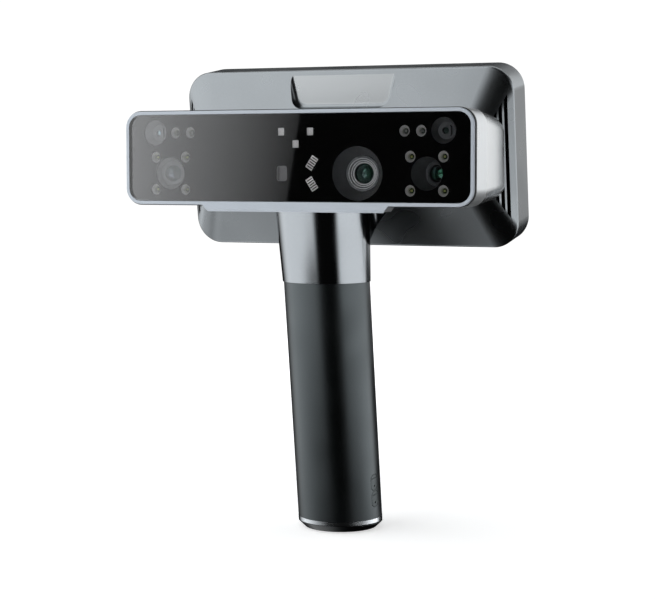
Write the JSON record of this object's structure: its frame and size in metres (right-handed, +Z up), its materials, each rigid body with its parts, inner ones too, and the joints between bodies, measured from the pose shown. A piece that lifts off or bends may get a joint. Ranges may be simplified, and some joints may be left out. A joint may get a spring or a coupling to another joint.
{
  "type": "handheld 3d scanner",
  "caption": "Handheld structured-light scanner: wide glass-fronted camera bar on a slanted round grip, with a touch display housing behind it.",
  "frame": {"origin": "centre of the flat foot under the handle, on the surface it stands on", "axes": "+X to the object's left-right width (the side with the port covers), -Y is the front that faces the subject, +Z up with the camera bar square to it"},
  "size_m": [0.2, 0.1101, 0.2623],
  "materials": {
    "bright_bezel": "bright satin anodised",
    "frame_silver": "fine bead-blasted",
    "shell_silver": "fine bead-blasted",
    "housing_grey": "dark satin anodised",
    "neck_grey": "satin anodised",
    "soft_grip": "soft-touch matte",
    "smoked_glass": "polished smoked glass",
    "screen_glass": "polished",
    "black_plate": "matt black",
    "hood_black": "matt black moulded",
    "barrel_black": "black anodised",
    "lens": "coated optical glass",
    "led_clear": "clear epoxy",
    "infrared_clear": "smoked epoxy",
    "board": "solder mask",
    "emitter_can": "diffusing window",
    "bare_alloy": "milled",
    "steel": "zinc plated",
    "seal_black": "matt",
    "screen_panel": "glossy panel",
    "inner_plastic": "moulded",
    "mesh_black": "woven mesh",
    "button_dark": "fine texture",
    "button_accent": "satin",
    "ring_bright": "polished",
    "foot_dark": "satin moulded",
    "cell_wrap": "shrink wrap",
    "cover_rubber": "matt",
    "copper_strip": "plated"
  },
  "bodies": {
    "frame": {"antennas": "copper_strip", "battery_cells": "cell_wrap", "battery_tray": "inner_plastic", "bench_posts": "bare_alloy", "bench_screws": "steel", "bezel_gasket": "seal_black", "bracket_screws": "steel", "button_board": "board", "button_panel": "button_dark", "colour_camera_barrel": "barrel_black", "colour_camera_hood": "hood_black", "colour_camera_lens": "lens", "display_bracket": "steel", "display_frame": "inner_plastic", "display_glass": "screen_glass", "display_housing": "housing_grey", "display_panel": "screen_panel", "dome_switches": "steel", "dot_emitters": "emitter_can", "end_cap": "foot_dark", "fan_frame": "inner_plastic", "foot_screws": "steel", "front_bezel": "bright_bezel", "front_glass": "smoked_glass", "grip_sleeve": "soft_grip", "handle_tube": "bare_alloy", "head_shell": "shell_silver", "heat_sink": "bare_alloy", "infrared_leds": "infrared_clear", "led_boards": "board", "left_camera_barrel": "barrel_black", "left_camera_hood": "hood_black", "left_camera_lens": "lens", "left_tracking_camera": "hood_black", "left_tracking_lens": "lens", "line_lasers": "emitter_can", "main_board": "board", "mid_frame": "frame_silver", "neck_front": "neck_grey", "neck_rear": "neck_grey", "optical_bench": "bare_alloy", "optics_plate": "black_plate", "port_board": "board", "port_sockets": "steel", "range_sensor": "emitter_can", "right_camera_barrel": "barrel_black", "right_camera_hood": "hood_black", "right_camera_lens": "lens", "right_tracking_camera": "hood_black", "right_tracking_lens": "lens", "trim_ring": "ring_bright", "vent_screens": "mesh_black", "white_leds": "led_clear"},
    "scan_button": {"scan_button": "button_accent"},
    "plus_button": {"plus_button": "button_dark"},
    "minus_button": {"minus_button": "button_dark"},
    "power_button": {"power_button": "button_accent"},
    "fan_rotor": {"fan_rotor": "inner_plastic"},
    "upper_port_cover": {"upper_port_cover": "cover_rubber"},
    "lower_port_cover": {"lower_port_cover": "cover_rubber"}
  },
  "joints": [
    {"name": "scan_button_press", "type": "slide", "parent": "frame", "child": "scan_button", "axis": [0, -0.9888, -0.1495], "range_m": [0, 0.001], "stiffness_N_per_m": 900, "springref_m": -0.0004},
    {"name": "plus_button_press", "type": "slide", "parent": "frame", "child": "plus_button", "axis": [0, -0.9888, -0.1495], "range_m": [0, 0.0008], "stiffness_N_per_m": 700, "springref_m": -0.0004},
    {"name": "minus_button_press", "type": "slide", "parent": "frame", "child": "minus_button", "axis": [0, -0.9888, -0.1495], "range_m": [0, 0.0008], "stiffness_N_per_m": 700, "springref_m": -0.0004},
    {"name": "power_button_press", "type": "slide", "parent": "frame", "child": "power_button", "axis": [0, -0.9888, -0.1495], "range_m": [0, 0.0008], "stiffness_N_per_m": 700, "springref_m": -0.0004},
    {"name": "fan_spin", "type": "hinge", "parent": "frame", "child": "fan_rotor", "pos_m": [0.062, 0.01778, 0.21012], "axis": [0, 0.9888, 0.1495], "continuous": true},
    {"name": "upper_port_cover_hinge", "type": "hinge", "parent": "frame", "child": "upper_port_cover", "pos_m": [0.02335, -0.00894, 0.03157], "axis": [-0.1736, -0.9737, -0.1473], "range_deg": [0, 100]},
    {"name": "lower_port_cover_hinge", "type": "hinge", "parent": "frame", "child": "lower_port_cover", "pos_m": [0.02335, -0.00749, 0.02198], "axis": [-0.1736, -0.9737, -0.1473], "range_deg": [0, 100]}
  ]
}
